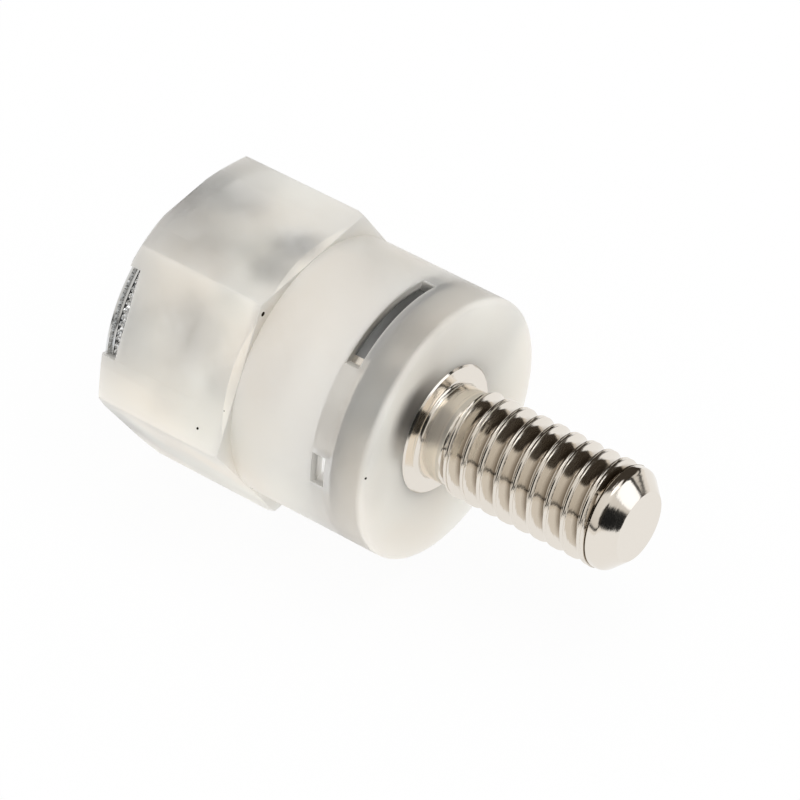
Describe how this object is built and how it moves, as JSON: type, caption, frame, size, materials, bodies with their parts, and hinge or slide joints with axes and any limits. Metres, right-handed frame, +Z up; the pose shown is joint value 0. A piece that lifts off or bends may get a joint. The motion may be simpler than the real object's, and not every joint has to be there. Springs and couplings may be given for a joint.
{
  "type": "insulating nylon hex standoff",
  "caption": "Natural nylon standoff, half hexagonal and half round, moulded over a nickel plated M4 stud and an M4 threaded bush",
  "frame": {"origin": "bottom centre of the part as it lies on one flat of its hexagon", "axes": "+X along the axis towards the stud's tip, +Y across, +Z up"},
  "size_m": [0.0194, 0.0116, 0.01],
  "materials": {
    "nylon": "natural milky nylon, translucent, satin as moulded",
    "nickel": "bright nickel plate on turned steel"
  },
  "bodies": {
    "root": {"nylon_body": "nylon", "stud_insert": "nickel", "threaded_insert": "nickel"}
  },
  "joints": []
}
